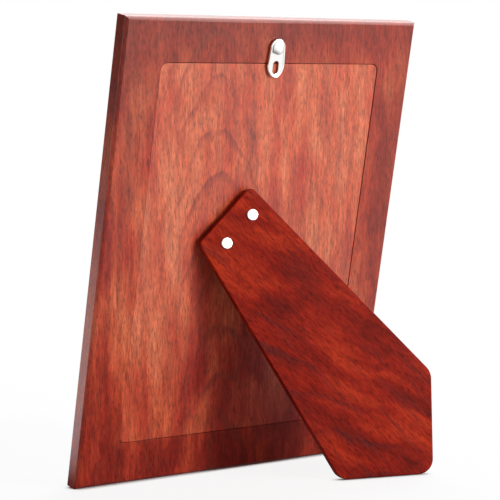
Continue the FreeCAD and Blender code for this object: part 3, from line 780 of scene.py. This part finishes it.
# %% Stud and leg rivets
STUD_RADIUS, STUD_LOW, STUD_SIDE, STUD_DOME = 3.2 * MM, 2.0 * MM, 0.3 * MM, 1.2 * MM
STUD_SHANK, STUD_END = 1.25 * MM, -9.0 * MM
HEAD_DISC, HEAD_SIDE = 2.8 * MM, 0.45 * MM
HEAD_ROUND = ((0.08, 0.18), (0.13, 0.11), (0.16, 0.05), (0.20, 0.02))
RIVET_RADIUS = 1.3 * MM
TAIL_RADIUS, TAIL_HIGH, TAIL_LOW = 2.0 * MM, -0.25 * MM, -0.6 * MM
RIVET_SPREAD, RIVET_DROP = 19.2 * MM, 5.772 * MM


def dome(radius, height, steps=9):
    """Raises the selected round face into a dome, ring by ring."""
    ball = (radius ** 2 + height ** 2) / (2 * height)
    start = math.asin(radius / ball)
    ring, level = radius, 0.0
    for step in range(1, steps):
        angle = start * (1 - step / steps)
        next_ring = ball * math.sin(angle)
        next_level = ball * math.cos(angle) - ball + height
        bpy.ops.mesh.inset(thickness=ring - next_ring, depth=next_level - level)
        ring, level = next_ring, next_level


def shank(head_low, head_radius, radius, length):
    """Draws a shank out of the under side of a head."""
    pick("FACE", faces_down(head_low))
    bpy.ops.mesh.inset(thickness=head_radius - radius)
    pull(-length)


stud = disc("stud", STUD_RADIUS, STUD_LOW, STUD_LOW + STUD_SIDE)
pick("FACE", faces_up(STUD_LOW + STUD_SIDE))
dome(STUD_RADIUS, STUD_DOME)
shank(STUD_LOW, STUD_RADIUS, STUD_SHANK, STUD_LOW - STUD_END)
hanger_stud = finish_piece(stud, BUTTON, METAL_ANGLE)
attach(hanger_stud, "frame")
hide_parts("hanger_stud")

rivets = disc("leg_rivet_pair", HEAD_DISC, leg_outer, leg_outer + HEAD_SIDE, SMALL_SIDES)
pick("FACE", faces_up(leg_outer + HEAD_SIDE))
raise_rings(HEAD_ROUND)
shank(leg_outer, HEAD_DISC, RIVET_RADIUS, leg_outer - TAIL_HIGH)
pull(0)
bpy.ops.transform.resize(value=(TAIL_RADIUS / RIVET_RADIUS,) * 2 + (1,))
pull(TAIL_LOW - TAIL_HIGH)
bpy.ops.mesh.select_all(action="SELECT")
bpy.ops.transform.translate(value=(-RIVET_SPREAD / 2, -RIVET_DROP, 0))
bpy.ops.mesh.duplicate_move(TRANSFORM_OT_translate={"value": (RIVET_SPREAD, 0, 0)})
leg_rivets = finish_piece(rivets, LEG, METAL_ANGLE)
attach(leg_rivets, "leg")
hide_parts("leg_rivets")

# %% [markdown]
# ## Handing the finishes out
# The pieces that stay as they came from the construction get a finish too, also
# the ones inside the frame, because another view may look at them.

# %% Finishes
FINISHES = {
    "glass_pane": glass, "photo_print": photo_paper, "backing_card": grey_board,
    "panel_locating_pins": steel_wire, "hinge_leaf_panel": hinge_steel,
    "hinge_leaf_leg": hinge_steel, "hinge_pin": steel_wire, "panel_rivets": hinge_steel,
    "hanger_washer": nickel,
}
finished = [(nodes[node], finish) for node, finish in FINISHES.items()]
finished += [(frame_board, rosewood), (back_panel, rosewood_panel), (leg_board, rosewood_leg),
             (turn_button, nickel), (hanger_stud, satin_nickel), (leg_rivets, satin_nickel)]
for piece, finish in finished:
    piece.data.materials.clear()
    piece.data.materials.append(finish)
print(len(finished), "pieces finished")

# %% [markdown]
# ## A white table
# The camera sees the table as white. A mirror-like ray sees it too, but a matt
# surface must not be lit by all that white. So the white is mixed in by the kind
# of ray. Close to a foot it gives way to a narrow contact shadow. What gloss sees
# of the table fades with distance, as it does in a real studio, where only the
# table round the object is lit. Two sides of it are brighter in that mirror: the
# one under the key lamps, which gives the leg and the panel their sheen, and the
# one before the frame, which the side of the board shows near its foot.

# %% Floor
FLOOR_SIZE, FLOOR_TINT = 10, (0.66, 0.84, 0.88, 1)
CONTACT_REACH, WHITE_STRENGTH = 6 * MM, 1.0
TABLE_SPAN = 3.0
LIT_TABLE = [(0.03, 0.1), (0.06, 0.35), (0.1, 0.8), (0.18, 0.85), (0.35, 0.2), (0.8, 0.02)]
KEY_SIDE, KEY_STRENGTH = (-0.66, 0.75, 0), 1.1
FRONT_SIDE, FRONT_STRENGTH = (0.06, -0.49, 0), 3.6


def seen_directly(tree):
    """The kinds of ray, and a value that is 1 for rays from the camera or through glass."""
    rays = add(tree, "LightPath").outputs
    return rays, math_node(tree, "MAXIMUM", rays["Is Camera Ray"], rays["Is Transmission Ray"])


bpy.ops.mesh.primitive_plane_add(size=FLOOR_SIZE)
floor = bpy.context.object
floor.name = "floor"
floor_material, tree, shader = start_material("pale_floor")
shader.inputs["Base Color"].default_value = FLOOR_TINT
shader.inputs["Roughness"].default_value = 0.9
shader.inputs["Specular IOR Level"].default_value = 0.1
place = add(tree, "TexCoord").outputs["Object"]
away = vector_node(tree, "LENGTH", place, output="Value")
rays, seen = seen_directly(tree)
share = ramp(tree, away, [(0.2, 0.88), (0.5, 1.0)])
touch = add(tree, "AmbientOcclusion", {"Distance": CONTACT_REACH}, samples=8).outputs["AO"]
share = math_node(tree, "MULTIPLY", share, ramp(tree, touch, [(0.35, 0.0), (0.8, 1.0)]))
share = math_node(tree, "MULTIPLY", seen, share)

mirrored = ramp(tree, math_node(tree, "DIVIDE", away, TABLE_SPAN), LIT_TABLE)
bright_sides = ((KEY_SIDE, [(0.05, 0.0), (0.24, 1.0)], KEY_STRENGTH),
                (FRONT_SIDE, [(0.03, 0.0), (0.07, 1.0), (0.4, 1.0), (0.8, 0.0)], FRONT_STRENGTH))
for side, stops, strength in bright_sides:
    patch_share = ramp(tree, vector_node(tree, "DOT_PRODUCT", place, side, "Value"), stops)
    mirrored = math_node(tree, "MAXIMUM", mirrored,
                         math_node(tree, "MULTIPLY", patch_share, strength))
white = add(tree, "Emission", {"Color": (1, 1, 1, 1), "Strength": WHITE_STRENGTH}).outputs[0]
faded = add(tree, "Emission", {"Color": (1, 1, 1, 1), "Strength": mirrored}).outputs[0]
mixed = add(tree, "MixShader", {0: share, 1: shader.outputs[0], 2: white}).outputs[0]
mixed = add(tree, "MixShader", {0: rays["Is Glossy Ray"], 1: mixed, 2: faded}).outputs[0]
output = next(node for node in tree.nodes if node.type == "OUTPUT_MATERIAL")
tree.links.new(mixed, output.inputs["Surface"])
floor.data.materials.append(floor_material)
print("floor shader", len(tree.nodes), "nodes")

# %% [markdown]
# ## A white studio
# The world is white to the camera and in the metal. To gloss it has a dark side,
# which gives the board's near side its deep red, and one softbox, which brightens
# the top edge. Matt surfaces get a weak warm light from it instead, like the
# light that lit wood throws into its own shadows.

# %% World
SOFTBOX, SOFTBOX_STRENGTH = Vector((-0.62, 0.2, 0.76)).normalized(), 5.0
DARK_SIDE = Vector((0.62, -0.78, 0.1)).normalized()
WARM_TINT, WARM_STRENGTH = (1.0, 0.3, 0.21, 1), 0.57
world = bpy.data.worlds.new("studio")
bpy.context.scene.world = world
world.use_nodes = True
tree = world.node_tree
tree.nodes.clear()
rays, seen = seen_directly(tree)
glossy = rays["Is Glossy Ray"]
seen = math_node(tree, "MAXIMUM", seen, glossy)
direction = add(tree, "TexCoord").outputs["Generated"]
towards = vector_node(tree, "DOT_PRODUCT", direction, SOFTBOX, "Value")
softbox = ramp(tree, towards, [(0.8, 0.0), (0.95, 1.0)])
softbox = math_node(tree, "MULTIPLY", softbox, SOFTBOX_STRENGTH)
softbox = math_node(tree, "MULTIPLY", softbox, glossy)
darkness = vector_node(tree, "DOT_PRODUCT", direction, DARK_SIDE, "Value")
lit_side = ramp(tree, darkness, [(0.7, 1.0), (0.92, 0.06)])
not_glossy = math_node(tree, "SUBTRACT", 1.0, glossy)
lit_side = math_node(tree, "MAXIMUM", lit_side, not_glossy)
white = math_node(tree, "ADD", softbox, lit_side)
warmth = ramp(tree, darkness, [(0.0, 1.0), (0.7, 0.3)])
warmth = math_node(tree, "MULTIPLY", warmth, WARM_STRENGTH)
warm = add(tree, "Background", {"Color": WARM_TINT, "Strength": warmth}).outputs[0]
shown = add(tree, "Background", {"Color": (1, 1, 1, 1), "Strength": white}).outputs[0]
mixed = add(tree, "MixShader", {0: seen, 1: warm, 2: shown}).outputs[0]
output = add(tree, "OutputWorld")
tree.links.new(mixed, output.inputs["Surface"])
print("world shader", len(tree.nodes), "nodes")

# %% [markdown]
# ## Lamps
# The leg's shadow on the panel tells where the main light stood: behind the
# frame, to the camera's right and a little above. Its core is sharp and its edge
# is soft, so it comes from two lamps in nearly the same place, a small one and a
# wide one. The top lamp lights the table and the top edge, and can't reach the
# back, which leans over and faces down. A weak lamp behind the object keeps the
# front from going black. Each lamp is given by its direction from the target,
# its distance and size in metres and its power in watts.

# %% Lamps
LAMPS = {
    "key_lamp": ((-0.415, 0.88, 0.235), 1.5, 0.35, 13),
    "wide_lamp": ((-0.38, 0.90, 0.2), 1.5, 1.1, 9),
    "top_lamp": ((-0.45, -0.35, 0.83), 1.2, 0.8, 14),
    "back_lamp": ((-0.62, -0.69, 0.37), 1.4, 1.0, 2.0),
}
for name, (direction, distance, size, power) in LAMPS.items():
    lamp_data = bpy.data.lights.new(name, "AREA")
    lamp_data.size = size
    lamp_data.energy = power
    lamp = bpy.data.objects.new(name, lamp_data)
    lamp.location = TARGET + distance * Vector(direction)
    lamp.rotation_euler = (lamp.location - TARGET).to_track_quat("Z", "Y").to_euler()
    bpy.context.scene.collection.objects.link(lamp)
    print(name, "at mm", [round(v / MM) for v in lamp.location])

# %% [markdown]
# ## Colours as written, and the end
# The standard view shows each colour about as the recipes give it.

# %% Colour management
bpy.context.scene.view_settings.view_transform = "Standard"
